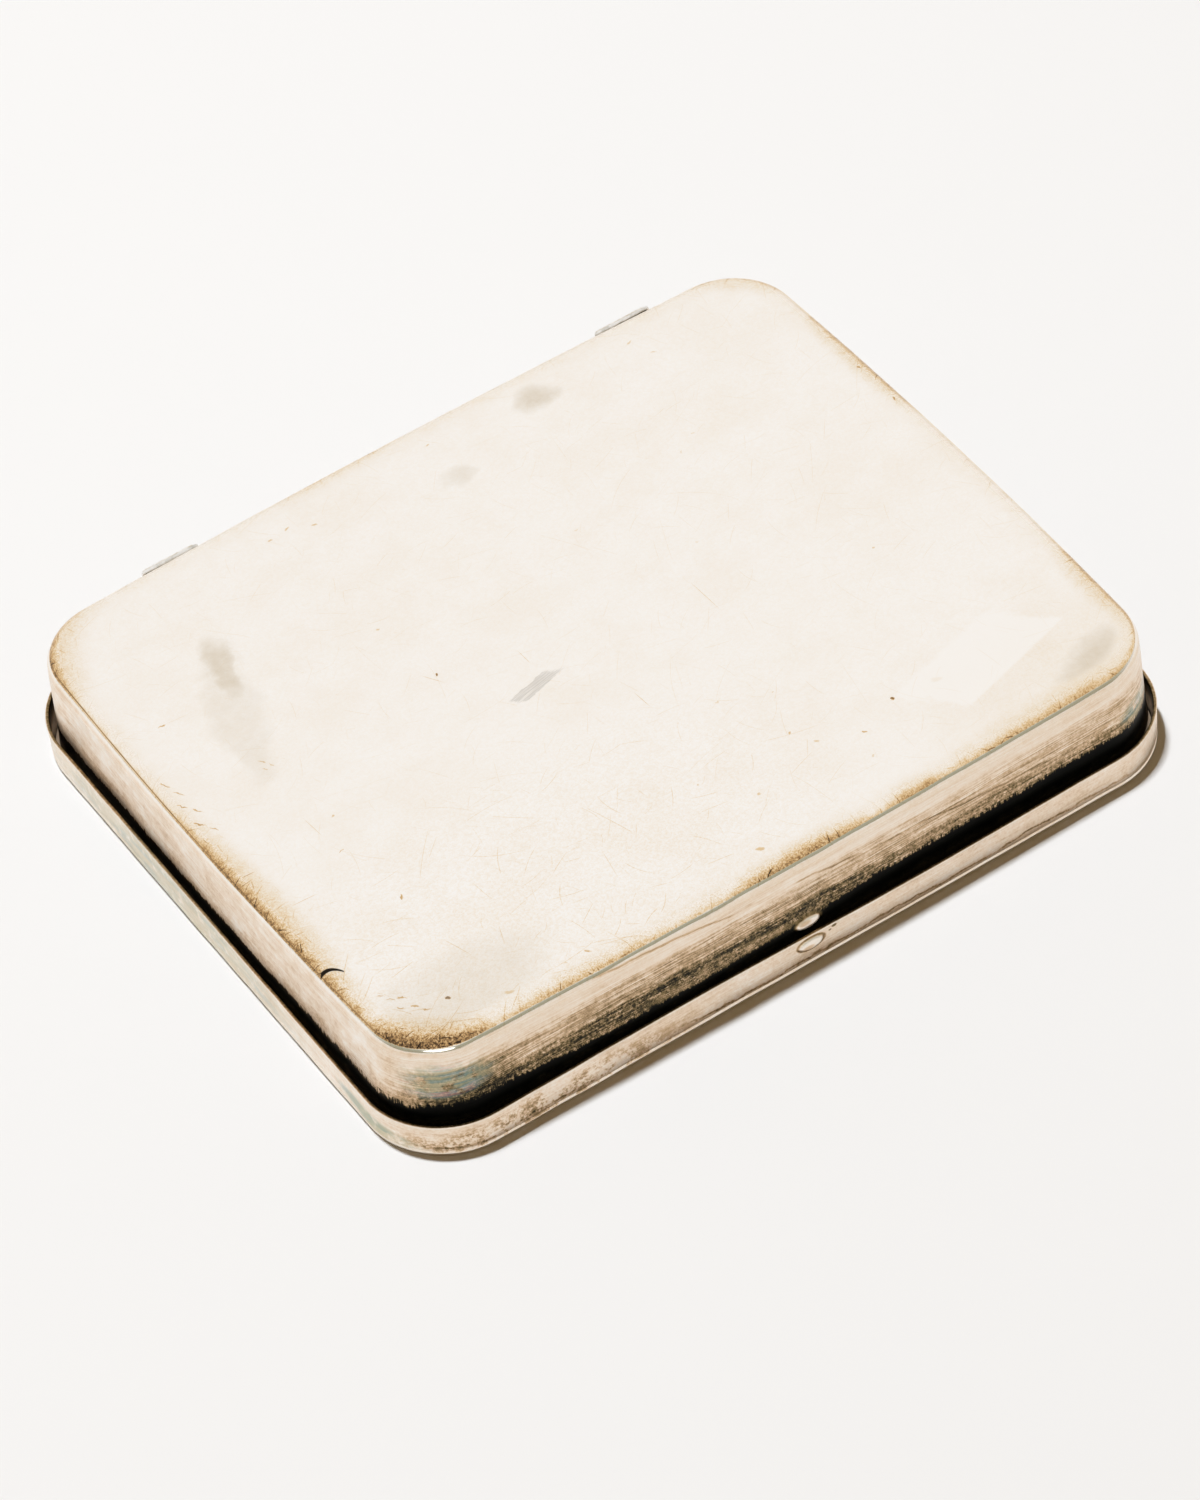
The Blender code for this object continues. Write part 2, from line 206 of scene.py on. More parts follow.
# Dull leaves, solder and wire
LEAF_TINTS = (
    (0, (0.6, 0.52, 0.4)),
    (0.3, (0.79, 0.73, 0.63)),
    (0.7, (0.88, 0.84, 0.77)),
    (1, (0.92, 0.9, 0.86)),
)
SOLDER_TINTS = ((0, (0.6, 0.57, 0.51)), (0.5, (0.84, 0.82, 0.78)), (1, (0.94, 0.92, 0.89)))
PIN_TINTS = ((0, (0.2, 0.17, 0.14)), (0.5, (0.46, 0.43, 0.39)), (1, (0.6, 0.57, 0.53)))
# Smudges, smear, and the crescent cut whose shade is painted black
SMUDGE_GREY = (0.66, 0.55, 0.4, 1)
SMEAR_GREY = (0.63, 0.585, 0.53, 1)
CRESCENT_BLACK = (0.02, 0.015, 0.01, 1)

# Marks on the base's panel: x, y, half length and half breadth in millimetres, turn in degrees, strength
NICKS = (
    (-43.6, -37.3, 0.45, 0.28, -20, 0.7), (-37.6, -40.9, 0.8, 0.35, -35, 0.28),
    (-27.1, -41.3, 0.5, 0.22, -50, 0.4), (-29.5, -45, 0.3, 0.25, 0, 0.34),
    (-32.7, -44.4, 0.5, 0.2, -30, 0.34), (-39.4, -20.8, 0.55, 0.16, 75, 0.42),
    (-38.9, -4.9, 0.4, 0.15, 40, 0.3), (-41.1, -10.2, 0.45, 0.13, 15, 0.34),
    (-40.9, 7.9, 0.7, 0.14, -55, 0.34), (-40.2, 6.7, 0.6, 0.12, -55, 0.3),
    (-41.2, 6.6, 0.5, 0.12, -60, 0.26), (-47.2, 20.4, 0.6, 0.13, 0, 0.4),
    (-2.8, -40.6, 0.7, 0.35, -40, 0.32), (-30.1, -41.3, 0.4, 0.18, -40, 0.26),
    (17.2, -32.9, 0.5, 0.22, -30, 0.4), (22.9, -30.5, 0.3, 0.28, 0, 0.62),
    (12, -30.6, 0.5, 0.28, -40, 0.28), (10.3, -27.6, 0.28, 0.2, 0, 0.34),
    (15.8, -36.7, 0.3, 0.28, 0, 0.22), (35.5, -8.7, 0.3, 0.26, 0, 0.26), (2, -33.4, 0.3, 0.2, 0, 0.28),
    (-2.7, -27.6, 0.3, 0.18, 20, 0.24), (6.5, -18, 0.35, 0.16, 50, 0.22),
    (12.5, -20.8, 0.3, 0.18, 0, 0.22), (28.7, -31.3, 0.9, 0.55, -20, 0.1),
    (3.1, 40.7, 0.45, 0.18, 10, 0.3), (-15.1, 37.7, 0.6, 0.22, -30, 0.32),
    (-18, 39.2, 0.55, 0.18, 20, 0.3), (-20.7, 38.9, 0.45, 0.2, 0, 0.28),
    (-18.5, 17.6, 0.3, 0.2, 0, 0.28), (-17.1, 6.8, 0.26, 0.26, 0, 0.62),
    (32.5, 39.9, 0.55, 0.16, 20, 0.26), (33.9, 36.7, 0.5, 0.16, -30, 0.26),
    (29.7, 21.6, 0.4, 0.16, 0, 0.2), (26.7, 19.7, 0.4, 0.16, 40, 0.2), (9.3, 16.6, 0.35, 0.16, 0, 0.2),
    (19.5, 5.6, 0.35, 0.14, -20, 0.2), (52, 18.2, 0.4, 0.2, 80, 0.46), (52.2, 11, 0.45, 0.2, 80, 0.46),
    (-51.9, 11.8, 1.1, 0.13, -60, 0.44), (-51.2, 9.6, 1, 0.12, -58, 0.4),
    (-52, 7.6, 0.9, 0.13, -62, 0.46), (-51, 5.9, 1, 0.12, -55, 0.4), (-52, 3.9, 1, 0.15, -60, 0.48),
    (-50.9, 2.2, 0.8, 0.11, -66, 0.38), (-49.6, -32.2, 0.8, 0.12, -43, 0.42),
    (-48.9, -33.4, 0.7, 0.11, -46, 0.4), (-47.7, -33.9, 0.9, 0.11, -40, 0.42),
    (-48.6, -35.2, 0.7, 0.12, -48, 0.44), (-47.2, -36, 0.8, 0.12, -43, 0.42),
    (-46.4, -37.2, 0.6, 0.12, -38, 0.44),
)
SCRATCHES = (
    (-0.2, -12.1, 1.9, 0.06, 94, 0.24), (15.2, -2.5, 3.7, 0.05, 92, 0.22),
    (-17.8, 6.5, 1.9, 0.05, -60, 0.24), (-7.3, 2.6, 1.8, 0.05, 92, 0.22),
    (-48.4, -14.1, 2, 0.05, -4, 0.26), (-41.7, -5, 2.2, 0.05, 94, 0.22),
    (-51.6, -6.6, 1, 0.07, -4, 0.28), (-24, -36.5, 2.4, 0.05, 35, 0.22), (-33.5, -33, 2, 0.05, 70, 0.22),
    (-15, -38, 1.6, 0.05, -20, 0.22),
)
SMUDGES = (
    (-38.4, 18.5, 13, 4, 72, 0.2), (-36.5, 23.9, 7.4, 2.4, 80, 0.56), (-40.6, 10, 5.6, 2.6, 70, 0.2),
    (17.8, 38.9, 3.9, 2.8, 10, 0.5), (3, 32.9, 3, 2.2, 0, 0.26), (45.5, -40.2, 6.4, 4.2, 20, 0.52),
    (-36.6, -38.4, 6.4, 3.6, 12, 0.2), (-42, -37, 15, 8, 10, 0.26),
)
# Where the border's tarnish is heaviest: x, y, half length, half breadth, turn, strength
BORDER_STAINS = (
    (-50.5, -42.5, 13, 8, -40, 1), (-54, -15, 28, 6, 90, 0.62), (1, -45.5, 12, 4.5, 0, 0.6),
    (17, -45.5, 5.5, 4, 0, 0.5), (54, -30, 13, 5, 90, 0.42), (50, 43, 12, 6, -45, 0.45),
    (54, 20, 16, 4, 90, 0.5), (-8, 46, 14, 4, 0, 0.4), (-53, 40, 13, 10, 45, 0.5),
    (-30, -45.5, 14, 4.5, 0, 0.3), (36, -45.5, 20, 6.5, 0, 0.26),
)
# Single marks, without their strength
LABEL = (34.2, -31.2, 1, 1, 16)
SMEAR = (-8.9, -2.2, 3.6, 1, 12)
CRESCENT = (-51.7, -25.3, 1, 1, -34)
DENSE_WEAR = (-34, -38, 56, 32, 12)
WARM_CORNER = (42, -38, 22, 13, 0)
# Coloured film on the lid's left wall, by y and by the measure along the section
LID_FILM = ((8, 3.1, 36, 3.4, 0, 0.6), (-35, 2.4, 8, 1.6, 4, 1))
# Across the catch bosses' walls: how far their light tops and their dark outlines of tarnish and painted
# shade reach
BOSS_TOP = (1.85, 0.95)
BOSS_OUTLINE = (2.22, 1.28)


def operator_pair(operation):
    """An operator on fields as a Math node, and its reflected form."""
    return (lambda field, other: field.math(operation, field, other),
            lambda field, other: field.math(operation, other, field))


class Field:
    """One output of a node. Sums, products and powers of fields add Math nodes."""

    def __init__(self, nodes, socket):
        self.nodes = nodes
        self.socket = socket

    def math(self, operation, *terms):
        return self.nodes.add("ShaderNodeMath", {"operation": operation}, dict(enumerate(terms)))

    __add__, __radd__ = operator_pair("ADD")
    __sub__, __rsub__ = operator_pair("SUBTRACT")
    __mul__, __rmul__ = operator_pair("MULTIPLY")
    __truediv__, __rtruediv__ = operator_pair("DIVIDE")
    __pow__, __rpow__ = operator_pair("POWER")

    def __neg__(self):
        return self.math("MULTIPLY", self, -1)

    def __abs__(self):
        return self.math("ABSOLUTE", self)

    def most(self, other):
        return self.math("MAXIMUM", self, other)

    def toward(self, other, share):
        """This field, moved towards another by a share of the way."""
        return self + (other - self) * share


class Nodes:
    """A node tree of any kind, written as fields."""

    def __init__(self, tree):
        self.tree = tree

    def put(self, socket, value):
        """Link a field to a socket, or set the socket to a plain value."""
        if isinstance(value, Field):
            self.tree.links.new(value.socket, socket)
        else:
            socket.default_value = value

    def add(self, kind, settings=None, inputs=None, output=0):
        """Add one node, with its settings first and then its inputs, and give one output."""
        made = self.tree.nodes.new(kind)
        for name, value in (settings or {}).items():
            if name == "stops":
                fill_ramp(made.color_ramp, value)
            else:
                setattr(made, name, value)
        for name, value in (inputs or {}).items():
            self.put(made.inputs[name], value)
        return Field(self, made.outputs[output])

    def other(self, field, output):
        """Another output of the node that gave a field."""
        return Field(self, field.socket.node.outputs[output])

    def vector(self, operation, *terms, output=0):
        """A Vector Math node."""
        return self.add("ShaderNodeVectorMath", {"operation": operation}, dict(enumerate(terms)), output)

    def dot(self, vector, other):
        """The dot product of two vectors."""
        return self.vector("DOT_PRODUCT", vector, other, output="Value")

    def scaled(self, vector, factor):
        """A vector made longer or shorter."""
        return self.add("ShaderNodeVectorMath", {"operation": "SCALE"}, {0: vector, "Scale": factor})

    def split(self, vector):
        """The three parts of a vector."""
        first = self.add("ShaderNodeSeparateXYZ", None, {0: vector})
        return first, self.other(first, 1), self.other(first, 2)

    def join(self, x, y, z=0):
        """A vector from its parts."""
        return self.add("ShaderNodeCombineXYZ", None, {0: x, 1: y, 2: z})

    def rise(self, field, low, high, top=1):
        """0 before low and top past high, with a soft step between. High may be the smaller one."""
        inputs = {"Value": field, "From Min": low, "From Max": high, "To Max": top}
        return self.add("ShaderNodeMapRange", {"interpolation_type": "SMOOTHSTEP"}, inputs)

    def band(self, field, start, end, soft):
        """1 between start and end."""
        return self.rise(field, start - soft, start + soft) * self.rise(field, end + soft, end - soft)

    def noise(self, place, scale, detail=3, roughness=0.55):
        """Soft noise about one half, of the given scale in the place's own units."""
        inputs = {"Vector": place, "Scale": 1 / scale, "Detail": detail, "Roughness": roughness}
        return self.add("ShaderNodeTexNoise", None, inputs)

    def mix(self, share, first, second):
        """A colour between two colours."""
        settings = {"data_type": "RGBA", "clamp_factor": True}
        return self.add("ShaderNodeMix", settings, {0: share, 6: first, 7: second}, output=2)

    def ramp(self, share, stops):
        """A colour from a row of (place, colour) stops."""
        return self.add("ShaderNodeValToRGB", {"stops": stops}, {0: share})


def fill_ramp(ramp, stops):
    """Give a colour ramp its stops."""
    while len(ramp.elements) < len(stops):
        ramp.elements.new(1)
    for element, (place, colour) in zip(ramp.elements, stops):
        element.position = place
        element.color = (*colour, 1)


class Finish(Nodes):
    """A material whose shader is fed by fields. Its places are in millimetres."""

    def __init__(self, name, **values):
        self.material = bpy.data.materials.new(name)
        self.material.use_nodes = True
        super().__init__(self.material.node_tree)
        self.shader = self.tree.nodes["Principled BSDF"]
        self.spot = self.scaled(self.add("ShaderNodeTexCoord", output="Object"), MILLIMETRES)
        self.x, self.y, _ = self.split(self.spot)
        for socket, value in values.items():
            self.feed(socket, value)

    def feed(self, socket, value):
        """Set or link one socket of the shader."""
        self.put(self.shader.inputs[socket], value)

    def bump(self, height):
        """Feed a height in millimetres to the shader's normal."""
        inputs = {"Height": height, "Distance": 1 / MILLIMETRES, "Strength": 1}
        self.feed("Normal", self.add("ShaderNodeBump", None, inputs))

    def moved(self, shift):
        """The place, shifted to another part of a pattern."""
        return self.vector("ADD", self.spot, (shift * 13.7, shift * 7.3, shift * 3.1))

    def blotches(self, shift, scale, detail, roughness=0.55):
        """Noise about zero, from its own part of the pattern."""
        return self.noise(self.moved(shift), scale, detail, roughness) - 0.5

    def measures(self, place, mark):
        """How far along and across a mark a place lies, in its half length and half breadth."""
        x, y, length, breadth, turn = mark
        cos_t, sin_t = math.cos(math.radians(turn)), math.sin(math.radians(turn))
        local = self.vector("SUBTRACT", place, (x, y, 0))
        along = self.dot(local, (cos_t / length, sin_t / length, 0))
        return along, self.dot(local, (-sin_t / breadth, cos_t / breadth, 0))

    def oval(self, place, mark, edge=0.45, strength=1):
        """An oval mark on a panel: its strength in the middle and 0 outside it."""
        along, across = self.measures(place, mark)
        from_middle = along.math("MULTIPLY_ADD", along, along, across * across)
        return self.rise(from_middle, 1, edge * edge, strength)

    def ovals(self, place, marks, edge=0.45):
        """The strongest of many oval marks at each point."""
        total = 0
        for *mark, strength in marks:
            total = self.oval(place, mark, edge, strength).most(total)
        return total

    def hairlines(self, cell, length, breadth, share, shift):
        """Thin bent scratches, at most one to a cell, each with its own direction and bend."""
        place = self.moved(shift)
        middle = self.add("ShaderNodeTexVoronoi", {"voronoi_dimensions": "2D"},
                          {"Vector": place, "Scale": 1 / cell}, output="Position")
        way, curve, luck = self.split(self.other(middle, "Color"))
        local = self.vector("SUBTRACT", place, middle)
        turned = self.add("ShaderNodeVectorRotate", {"rotation_type": "Z_AXIS"},
                          {"Vector": local, "Angle": way * (2 * math.pi)})
        along, across, _ = self.split(turned)
        across = across + along * along * (curve - 0.5) * (0.8 / length)
        line = self.rise(abs(across), breadth, breadth * 0.3) * self.rise(abs(along), length / 2, length / 5)
        return line * self.rise(luck, 1 - share, 1)


class Plate(Finish):
    """Silver plate on brass. Its measure along the section is 0 at the panel's border,
    negative on the panel outside, and grows over the edge, wall and lip to the inside."""

    def __init__(self, name, section):
        super().__init__(name, Metallic=1)
        self.along = self.add("ShaderNodeAttribute", {"attribute_name": "along_section"}, output="Fac")
        lip_end = section.lip_end * MILLIMETRES
        self.inside = self.rise(self.along, lip_end - 0.1, lip_end + 0.25)
        self.cloud = self.blotches(1, 15, 4)
        self.patch = self.blotches(2, 5.5, 4)
        self.grain = self.blotches(3, 0.42, 3, 0.65)
        self.mottle = self.blotches(4, 1.6, 3, 0.6)
        self.grit = self.blotches(5, 0.2, 2, 0.7)
        self.speck = self.rise(self.grain + self.grit, -0.28, 0.32)

    def streaks(self, length, breadth, shift):
        """Noise about zero, drawn out round the outline: length along it, breadth across the wall."""
        place = self.join(self.x / length + shift, self.y / length, self.along / breadth)
        return self.noise(place, 1, 3, 0.6) - 0.5

    def on_wall(self, x, measure, reach, edge=0.4, strength=1):
        """An oval on the front wall, placed by x and by the measure along the section."""
        place = self.join(self.x, self.along)
        return self.oval(place, (x, measure, *reach, 0), edge, strength) * self.rise(self.y, -38, -42)

    def colour(self, tarnish, on_wall, film, film_share):
        """The plate's colour for an amount of tarnish, which in places also carries painted shade and
        reflection.
        """
        colour = self.mix(on_wall, self.ramp(tarnish, PANEL_TARNISH), self.ramp(tarnish, WALL_TARNISH_AND_SHADE))
        return self.mix(film_share, colour, self.ramp(film, FILM))

    def hairs(self, shift):
        """Fine scratches of several lengths."""
        fine = self.hairlines(4.2, 4.4, 0.065, 0.9, shift)
        fine = fine.most(self.hairlines(2.6, 2.5, 0.06, 0.7, shift + 1) * 0.7)
        fine = fine.most(self.hairlines(8.5, 10, 0.055, 0.8, shift + 2))
        return fine.most(self.hairlines(5.1, 5.6, 0.055, 0.9, shift + 3))


# Outlines and sections

def side_points(reach, radius, swell, shares, offset):
    """One swollen side, anticlockwise, seen with its outside up."""
    half_angle = 2 * math.atan(swell / reach)
    turn = half_angle * shares
    along = (reach / math.sin(half_angle) + radius) * np.sin(turn)
    lift = reach * (np.cos(turn) - math.cos(half_angle)) / math.sin(half_angle)
    return np.stack([-along, offset + radius * np.cos(turn) + lift], axis=1)


def corner_points(reach, radius, offset, start, end):
    """The round corner after a side, its ends left out."""
    turn = np.linspace(start, end, CORNER_STEPS + 1)[1:-1]
    return np.stack([-reach + radius * np.cos(turn), offset + radius * np.sin(turn)], axis=1)


def outline(half_width, half_depth, radius, swell):
    """A rounded rectangle with swollen sides, anticlockwise from the middle of the back side."""
    reaches = (half_width - radius, half_depth - radius)
    close = CATCH_REACH / reaches[0]
    far = np.linspace(close, 1, LONG_SIDE_STEPS)
    long_shares = np.concatenate([-far[::-1], np.linspace(-close, close, CATCH_STEPS + 1)[1:-1], far])
    shares = (long_shares, np.linspace(-1, 1, SHORT_SIDE_STEPS + 1))
    points = []
    for number in range(4):
        reach = reaches[number % 2]
        offset = reaches[1 - number % 2]
        lean = 2 * math.atan(swell / reach)
        next_lean = 2 * math.atan(swell / offset)
        side = side_points(reach, radius, swell, shares[number % 2], offset)
        corner = corner_points(reach, radius, offset, QUARTER + lean, 2 * QUARTER - next_lean)
        turn = number * QUARTER
        rotation = np.array([[math.cos(turn), math.sin(turn)], [-math.sin(turn), math.cos(turn)]])
        points.append(np.concatenate([side, corner]) @ rotation)
    return np.roll(np.concatenate(points), -(len(long_shares) // 2), axis=0)


class Section:
    """The section of a pan's sheet, from the panel's outside border over the lip to its inside.

    Each step is how far in from the wall it lies, how deep below the panel,
    and its measure along the sheet.
    """

    def __init__(self, depth, edge_radius, wall_steps):
        self.steps = []
        self.measure = -PANEL_BORDER
        self.last = None
        inner = edge_radius - SHEET
        lip = depth - LIP_ROUNDING
        r = LIP_ROUNDING
        border = np.linspace(PANEL_BORDER, 0, PANEL_BORDER_STEPS)
        edge = np.linspace(QUARTER, 0, EDGE_STEPS + 1)
        round_lip = np.linspace(0, QUARTER, LIP_STEPS + 1)
        self.add_run((edge_radius + inset, 0) for inset in border)
        self.add_run((edge_radius * (1 - math.cos(t)), edge_radius * (1 - math.sin(t))) for t in edge[1:])
        self.add_run((0, deep) for deep in np.linspace(edge_radius, lip, wall_steps)[1:])
        self.lip_start = self.measure
        self.add_run((r * (1 - math.cos(t)), lip + r * math.sin(t)) for t in round_lip[1:])
        self.add_run((SHEET - r * (1 - math.sin(t)), lip + r * math.cos(t)) for t in round_lip)
        self.lip_end = self.measure
        self.add_run((SHEET, deep) for deep in np.linspace(lip, edge_radius, INNER_WALL_STEPS)[1:])
        self.add_run((SHEET + inner * (1 - math.cos(t)), edge_radius - inner * math.sin(t))
                     for t in edge[::-1][1:])
        self.add_run((edge_radius + inset, SHEET) for inset in border[::-1][2::4])

    def add_run(self, run):
        """Add steps and their measure along the sheet."""
        for inset, deep in run:
            if self.last:
                self.measure += math.dist((inset, deep), self.last)
            self.last = (inset, deep)
            self.steps.append((inset, deep, self.measure))


class Pan:
    """A drawn pan. Its half sizes and corner radius hold at the height of the lid's rim."""

    wall_steps = 26
    panel_steps = (12, 24)

    def __init__(self):
        self.way = 1 if self.mouth_z > self.panel_z else -1
        self.depth = abs(self.mouth_z - self.panel_z)
        self.section = Section(self.depth, self.edge_radius, self.wall_steps)

    def swell(self, deep):
        return self.swells[0] + (self.swells[1] - self.swells[0]) * deep / self.depth

    def wall_out(self, z):
        """How much further out the wall stands at z than at the rim's height."""
        return math.tan(self.draft) * self.way * (z - RIM_HEIGHT)

    def long_wall(self, x, z):
        """How far from the middle a long wall's outside is, at a place along it and a height."""
        reach = self.half_width - self.radius
        crown = self.swell(abs(z - self.panel_z)) * (1 - (x / reach) ** 2)
        return self.half_depth + self.wall_out(z) + crown

    def ring(self, inset, deep):
        """One ring of points round the pan."""
        z = self.panel_z + self.way * deep
        out = self.wall_out(z) - inset
        points = outline(self.half_width + out, self.half_depth + out, self.radius + out, self.swell(deep))
        reach = self.half_width - self.radius
        x, y = points.T
        shift = self.wave * deep / self.depth * (1 - (x / reach) ** 2) * np.sin(2 * math.pi * x / WAVE_PITCH)
        points[:, 1] -= np.where((y < 0) & (abs(x) < reach), shift, 0)
        ahead = np.roll(points, -1, axis=0) - np.roll(points, 1, axis=0)
        outward = np.stack([ahead[:, 1], -ahead[:, 0]], axis=1)
        outward /= np.linalg.norm(outward, axis=1)[:, None]
        stretch = np.linalg.norm(np.diff(points, axis=0, append=points[:1]), axis=1)
        around = np.cumsum(stretch) * math.tau / stretch.sum()
        share = min(1, deep / self.edge_radius) * min(1, (self.depth - deep) / self.edge_radius + 0.35)
        points += outward * (self.dents(around, deep) * share)[:, None]
        return np.column_stack([points, np.full(len(points), z)])

    def dents(self, turn, deep):
        """Slight dents into a wall, as an outward shift for each point. Turn runs once round the pan."""
        draw = np.random.default_rng(self.seed)
        total = np.zeros_like(turn)
        for _ in range(DENT_COUNT):
            times = draw.integers(*DENTS_ROUND)
            pitch = DENT_PITCH * draw.uniform(*DENT_SPREAD)
            phase = draw.uniform(0, math.tau)
            total += np.sin(times * turn + math.tau * deep / pitch + phase)
        return DENT_DEPTH * (total / math.sqrt(DENT_COUNT) - DENT_REACH)

    def mesh(self):
        """The closed sheet, with its measure along the section at each point."""
        steps = self.section.steps
        first = self.ring(*steps[0][:2])
        last = self.ring(*steps[-1][:2])
        reach = self.half_depth - PANEL_BORDER
        rings = [(first * (share, share, 1), steps[0][2] - (1 - share) * reach)
                 for share in np.linspace(0, 1, self.panel_steps[0] + 1)[1:-1]]
        rings += [(self.ring(inset, deep), measure) for inset, deep, measure in steps]
        rings += [(last * (share, share, 1), steps[-1][2] + (1 - share) * reach)
                  for share in np.linspace(1, 0, self.panel_steps[1] + 1)[1:-1]]
        count = len(first)
        here = np.arange(len(rings) * count).reshape(-1, count)
        after = np.roll(here, -1, axis=1)
        faces = np.stack([here[:-1], here[1:], after[1:], after[:-1]], axis=2).reshape(-1, 4).tolist()
        faces += [[here.size, *edge] for edge in zip(here[0].tolist(), after[0].tolist())]
        faces += [[here.size + 1, *edge] for edge in zip(after[-1].tolist(), here[-1].tolist())]
        middles = [(0, 0, first[0][2]), (0, 0, last[0][2])]
        points = np.concatenate([ring for ring, _ in rings] + [middles])
        measures = np.repeat([measure for _, measure in rings], count)
        ends = [rings[0][1] - reach / self.panel_steps[0], rings[-1][1] + reach / self.panel_steps[1]]
        if self.way > 0:
            faces = [face[::-1] for face in faces]
        mesh = bpy.data.meshes.new(self.name + "_skin")
        mesh.from_pydata(points.tolist(), [], faces)
        along = mesh.attributes.new("along_section", "FLOAT", "POINT")
        along.data.foreach_set("value", np.concatenate([measures, ends]) * MILLIMETRES)
        mesh.shade_smooth()
        return mesh


class LidPan(Pan):
    name = "lid_pan"
    half_width, half_depth, radius = LID_HALF_WIDTH, LID_HALF_DEPTH, LID_CORNER
    draft, edge_radius, swells = LID_DRAFT, LID_EDGE_RADIUS, (LID_SWELL, LID_SWELL)
    panel_z, mouth_z, wave, seed = 0, RIM_HEIGHT, LID_FRONT_WAVE, 3
    catch_x, catch_z = LID_CATCH


class BasePan(Pan):
    name = "base_pan"
    half_width = LID_HALF_WIDTH - SHEET - SIDE_GAP
    half_depth = LID_HALF_DEPTH - SHEET - SIDE_GAP
    radius = LID_CORNER - SHEET - SIDE_GAP
    draft, edge_radius, swells = BASE_DRAFT, BASE_EDGE_RADIUS, (BASE_PANEL_SWELL, BASE_MOUTH_SWELL)
    panel_z, mouth_z, wave, seed = SHUT_HEIGHT, SHEET + MOUTH_GAP, -BASE_FRONT_WAVE, 8
    catch_x, catch_z = BASE_CATCH
    wall_steps = 40
    panel_steps = (44, 10)


# Geometry trees and objects

def new_tree(name, inputs):
    """A geometry tree with named inputs after its geometry."""
    tree = bpy.data.node_groups.new(name, "GeometryNodeTree")
    tree.interface.new_socket("Shape", in_out="INPUT", socket_type="NodeSocketGeometry")
    tree.interface.new_socket("Shape", in_out="OUTPUT", socket_type="NodeSocketGeometry")
    for label, kind in inputs:
        tree.interface.new_socket(label, in_out="INPUT", socket_type="NodeSocket" + kind)
    nodes = Nodes(tree)
    start = nodes.add("NodeGroupInput")
    return nodes, start, [nodes.other(start, label) for label, _ in inputs]


def end_tree(nodes, shape, finish):
    """Make instances real, set the finish and hand the shape out."""
    whole = nodes.add("GeometryNodeRealizeInstances", None, {"Geometry": shape})
    shown = nodes.add("GeometryNodeSetMaterial", None, {"Geometry": whole, "Material": finish})
    nodes.put(nodes.tree.nodes.new("NodeGroupOutput").inputs[0], shown)
    return nodes.tree


def boss_tree():
    """Presses an oval boss with a flat top and a round shoulder out of a front wall."""
    nodes, sheet, sizes = new_tree("pressed_boss", (
        ("Middle", "Vector"), ("Half Length", "Float"), ("Half Breadth", "Float"), ("Rise", "Float"),
        ("Shoulder", "Float"), ("Finish", "Material")))
    middle, half_length, half_breadth, rise, shoulder, finish = sizes
    place = nodes.add("GeometryNodeInputPosition")
    x, y, z = nodes.split(nodes.vector("SUBTRACT", place, middle))
    from_middle = nodes.vector("LENGTH", nodes.join(x / half_length, 0, z / half_breadth), output="Value")
    on_front = nodes.rise(y, half_breadth * 2, half_breadth)
    height = nodes.rise(from_middle, 1, shoulder) * on_front * rise
    push = nodes.join(0, -height, 0)
    moved = nodes.add("GeometryNodeSetPosition", None, {"Geometry": sheet, "Offset": push})
    return end_tree(nodes, moved, finish)


def solder_tree():
    """Lays an uneven bead of solder along a path."""
    nodes, path, (radius, unevenness, finish) = new_tree("solder_bead", (
        ("Radius", "Float"), ("Unevenness", "Float"), ("Finish", "Material")))
    curve = nodes.add("GeometryNodeMeshToCurve", None, {"Mesh": path})
    close = nodes.add("GeometryNodeResampleCurve", {"mode": "LENGTH"},
                      {"Curve": curve, "Length": radius * SOLDER_STEP_SHARE})
    ring = nodes.add("GeometryNodeCurvePrimitiveCircle", None,
                     {"Resolution": SOLDER_SIDES, "Radius": radius})
    bead = nodes.add("GeometryNodeCurveToMesh", None,
                     {"Curve": close, "Profile Curve": ring, "Fill Caps": True})
    bumps = nodes.noise(nodes.add("GeometryNodeInputPosition"), SOLDER_LUMP, 2)
    push = nodes.scaled(nodes.add("GeometryNodeInputNormal"), (bumps - 0.45) * unevenness)
    moved = nodes.add("GeometryNodeSetPosition", None, {"Geometry": bead, "Offset": push})
    return end_tree(nodes, moved, finish)


def run_tree(item, tree, inputs):
    """Run a geometry tree on an object and keep the plain mesh that it makes."""
    modifier = item.modifiers.new(tree.name, "NODES")
    modifier.node_group = tree
    for socket in tree.interface.items_tree:
        if socket.in_out == "INPUT" and socket.name in inputs:
            modifier[socket.identifier] = inputs[socket.name]
    keep_result(item)


def keep_result(item):
    """Replace an object's mesh by what its modifiers make of it."""
    bpy.context.view_layer.update()
    evaluated = item.evaluated_get(bpy.context.evaluated_depsgraph_get())
    mesh = bpy.data.meshes.new_from_object(evaluated)
    item.modifiers.clear()
    item.data = mesh
    mesh.shade_smooth()


def finished_mesh(name, bm):
    """The mesh that was built, under its name."""
    mesh = bpy.data.meshes.new(name)
    bm.to_mesh(mesh)
    bm.free()
    return mesh


def add_object(name, data, finish=None):
    """Put an object in the scene, with its finish."""
    item = bpy.data.objects.new(name, data)
    bpy.context.scene.collection.objects.link(item)
    if finish:
        data.materials.clear()
        data.materials.append(finish.material)
    return item


def base_turn():
    """The base's slight turn about the hinge, from shut to ajar."""
    there = Matrix.Translation(HINGE_AXIS)
    return there @ Matrix.Rotation(-AJAR_ANGLE, 4, "X") @ there.inverted()


